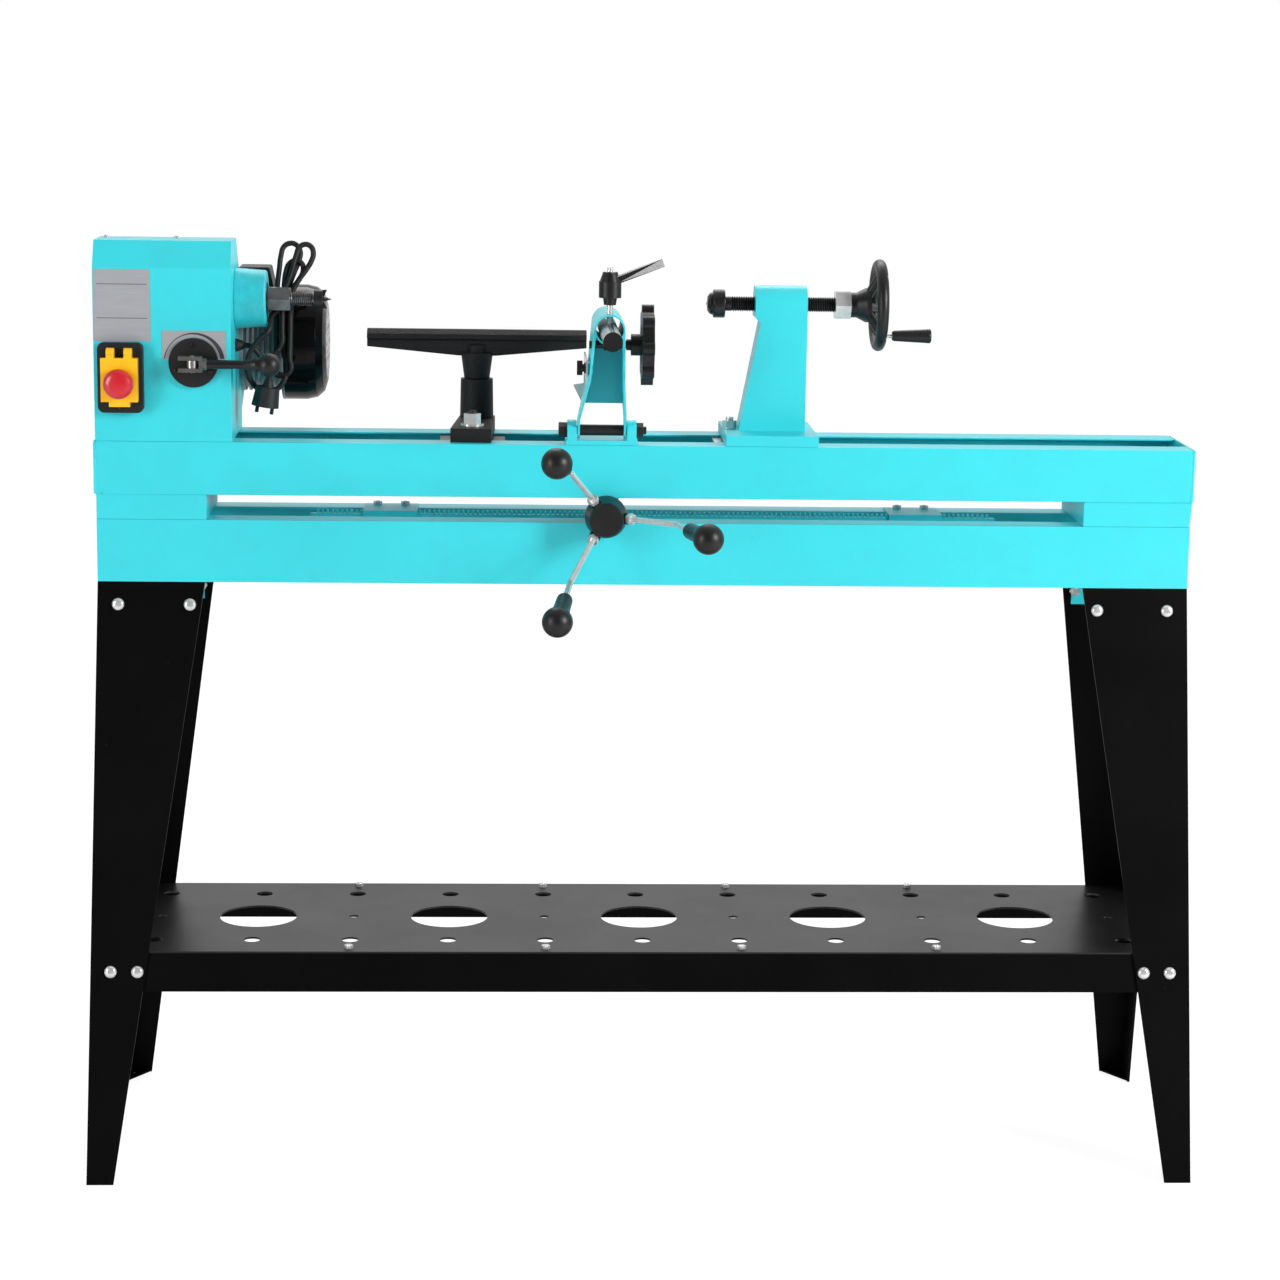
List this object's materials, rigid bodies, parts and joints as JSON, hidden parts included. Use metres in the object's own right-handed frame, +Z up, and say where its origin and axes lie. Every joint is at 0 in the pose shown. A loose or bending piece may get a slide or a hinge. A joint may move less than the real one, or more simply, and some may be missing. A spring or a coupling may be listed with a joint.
{
  "type": "wood lathe",
  "caption": "Turquoise wood-turning lathe on a black sheet-metal stand, with a copying attachment on the bed, tool rest, tailstock and motorised headstock.",
  "frame": {"origin": "On the floor, in the middle of the rectangle of the four anchor holes in the feet, straight below the middle of the bed and the spindle axis plane.", "axes": "+X along the bed from headstock to tailstock, +Y from the operator to the back, +Z up."},
  "size_m": [1.42, 0.541, 1.1894],
  "materials": {
    "turquoise_paint": "satin, light orange peel",
    "black_paint": "satin powder coat",
    "zinc": "bright zinc plated",
    "steel": "ground steel",
    "dark_steel": "oiled black steel",
    "black_plastic": "moulded, lightly grained",
    "gloss_black": "glossy",
    "yellow_plastic": "glossy",
    "red_plastic": "glossy",
    "green_plastic": "glossy",
    "cast_black": "painted casting",
    "aluminium": "die cast",
    "plate": "printed plate, blank",
    "belt_rubber": "matte",
    "cord_rubber": "matte",
    "motor_grey": "satin"
  },
  "bodies": {
    "bed": {"leg_front_left": "black_paint", "leg_front_right": "black_paint", "leg_rear_left": "black_paint", "leg_rear_right": "black_paint", "shelf_plate": "black_paint", "shelf_rails": "black_paint", "leg_bolts": "zinc", "machine_screws": "zinc", "bed_rails": "turquoise_paint", "lower_rails": "turquoise_paint", "bed_ends": "turquoise_paint", "rack_bar": "turquoise_paint", "headstock_housing": "turquoise_paint", "bearing_housing": "turquoise_paint", "spindle_bearings": "steel", "drive_belt": "belt_rubber", "motor_body": "motor_grey", "motor_end_cover": "gloss_black", "terminal_box": "black_plastic", "switch_base": "black_plastic", "speed_disc": "black_plastic", "blank_plates": "plate", "cable_grommet": "belt_rubber", "power_cord": "cord_rubber", "cord_bundle": "cord_rubber", "power_plug": "cord_rubber"},
    "spindle": {"spindle": "steel", "drive_centre": "dark_steel", "spindle_pulley": "aluminium"},
    "rotor": {"motor_rotor": "steel", "motor_pulley": "aluminium"},
    "flap": {"switch_flap": "yellow_plastic"},
    "stop": {"stop_button": "red_plastic"},
    "start": {"start_button": "green_plastic"},
    "speed": {"speed_shaft": "steel"},
    "speed_arm": {"speed_lever": "black_plastic"},
    "rest_clamp": {"banjo_bolt": "dark_steel"},
    "rest_nut": {"banjo_nut": "zinc"},
    "rest_base": {"banjo": "cast_black"},
    "post": {"rest_post": "steel"},
    "rest": {"tool_rest": "cast_black"},
    "rest_lock": {"rest_lock_lever": "black_plastic"},
    "carriage": {"carriage": "turquoise_paint", "pivot_bolt": "dark_steel"},
    "tower": {"copier_tower": "turquoise_paint", "tracer_plate": "zinc"},
    "bar": {"cutter_bar": "steel", "cutter": "dark_steel"},
    "bar_clamp": {"clamp_lever": "gloss_black"},
    "feed": {"feed_wheel": "gloss_black"},
    "thumb": {"thumb_screw": "black_plastic"},
    "capstan": {"capstan_hub": "dark_steel", "capstan_rods": "steel", "capstan_knobs": "gloss_black"},
    "tailstock": {"tailstock_body": "turquoise_paint", "tail_clamp": "zinc"},
    "quill": {"quill_screw": "dark_steel"},
    "tip": {"live_centre": "dark_steel"},
    "wheel": {"tail_wheel": "cast_black"},
    "crank": {"crank_handle": "gloss_black"}
  },
  "joints": [
    {"name": "motor_spin", "type": "hinge", "parent": "bed", "child": "rotor", "pos_m": [-0.52, 0.096, 1.047], "axis": [1, 0, 0], "continuous": true},
    {"name": "spindle_spin", "type": "hinge", "parent": "bed", "child": "spindle", "pos_m": [-0.5, 0, 1.111], "axis": [1, 0, 0], "continuous": true},
    {"name": "flap_hinge", "type": "hinge", "parent": "bed", "child": "flap", "pos_m": [-0.6655, -0.098, 1.05], "axis": [-1, 0, 0], "range_deg": [0, 100]},
    {"name": "stop_press", "type": "slide", "parent": "flap", "child": "stop", "axis": [0, 1, 0], "range_m": [0, 0.003], "stiffness_N_per_m": 900, "springref_m": -0.001},
    {"name": "start_press", "type": "slide", "parent": "bed", "child": "start", "axis": [0, 1, 0], "range_m": [0, 0.003], "stiffness_N_per_m": 600, "springref_m": -0.001},
    {"name": "speed_turn", "type": "hinge", "parent": "bed", "child": "speed", "pos_m": [-0.575, -0.098, 1.036], "axis": [0, 1, 0], "range_deg": [-115, 0]},
    {"name": "lever_pull", "type": "hinge", "parent": "speed", "child": "speed_arm", "pos_m": [-0.575, -0.098, 1.036], "axis": [0, 0, 1], "range_deg": [-18, 0]},
    {"name": "banjo_slide", "type": "slide", "parent": "bed", "child": "rest_clamp", "axis": [1, 0, 0], "range_m": [-0.025, 0]},
    {"name": "banjo_swivel", "type": "hinge", "parent": "rest_clamp", "child": "rest_nut", "pos_m": [-0.225, -0.032, 0.954], "axis": [0, 0, 1], "range_deg": [0, 8]},
    {"name": "banjo_cross", "type": "slide", "parent": "rest_nut", "child": "rest_base", "axis": [0.0523, 0.9986, 0], "range_m": [-0.03, 0.008]},
    {"name": "rest_lift", "type": "slide", "parent": "rest_base", "child": "post", "axis": [0, 0, 1], "range_m": [0, 0.035]},
    {"name": "rest_swivel", "type": "hinge", "parent": "post", "child": "rest", "pos_m": [-0.22008, 0.06187, 1.02], "axis": [0, 0, 1], "range_deg": [-5, 20]},
    {"name": "rest_lock", "type": "hinge", "parent": "rest_base", "child": "rest_lock", "pos_m": [-0.22008, 0.06187, 0.987], "axis": [0.0523, 0.9986, 0], "range_deg": [-60, 60]},
    {"name": "capstan_turn", "type": "hinge", "parent": "carriage", "child": "capstan", "pos_m": [-0.054, -0.1, 0.846], "axis": [0, 1, 0], "range_deg": [0, 380]},
    {"name": "carriage_slide", "type": "slide", "parent": "bed", "child": "carriage", "axis": [1, 0, 0], "range_m": [0, 0.06]},
    {"name": "tower_tilt", "type": "hinge", "parent": "carriage", "child": "tower", "pos_m": [-0.054, -0.066, 0.954], "axis": [1, 0, 0], "range_deg": [-10, 12]},
    {"name": "feed_turn", "type": "hinge", "parent": "tower", "child": "feed", "pos_m": [-0.04, -0.11, 1.0673], "axis": [1, 0, 0], "range_deg": [-700, 260]},
    {"name": "bar_feed", "type": "slide", "parent": "tower", "child": "bar", "axis": [0, 1, 0], "range_m": [-0.03, 0.08]},
    {"name": "bar_clamp_turn", "type": "hinge", "parent": "tower", "child": "bar_clamp", "pos_m": [-0.054, -0.135, 1.12], "axis": [0, 0, 1], "range_deg": [-60, 30]},
    {"name": "thumb_turn", "type": "hinge", "parent": "tower", "child": "thumb", "pos_m": [-0.0825, -0.11, 1.0377], "axis": [1, 0, 0], "range_deg": [-90, 90]},
    {"name": "tailstock_slide", "type": "slide", "parent": "bed", "child": "tailstock", "axis": [1, 0, 0], "range_m": [0, 0.44]},
    {"name": "wheel_turn", "type": "hinge", "parent": "quill", "child": "wheel", "pos_m": [0.28, 0, 1.111], "axis": [1, 0, 0], "range_deg": [-4700, 4200]},
    {"name": "quill_feed", "type": "slide", "parent": "tailstock", "child": "quill", "axis": [1, 0, 0], "range_m": [-0.033, 0.03]},
    {"name": "tip_spin", "type": "hinge", "parent": "quill", "child": "tip", "pos_m": [0.09, 0, 1.111], "axis": [1, 0, 0], "continuous": true},
    {"name": "crank_spin", "type": "hinge", "parent": "wheel", "child": "crank", "pos_m": [0.34, -0.03473, 1.07503], "axis": [1, 0, 0], "continuous": true}
  ],
  "couplings": [
    {"joint": "spindle_spin", "follows": "motor_spin", "ratio": 0.66667},
    {"joint": "carriage_slide", "follows": "capstan_turn", "m_per_rad": 0.009},
    {"joint": "bar_feed", "follows": "feed_turn", "m_per_rad": -0.0065},
    {"joint": "quill_feed", "follows": "wheel_turn", "m_per_rad": 0.00039789}
  ]
}
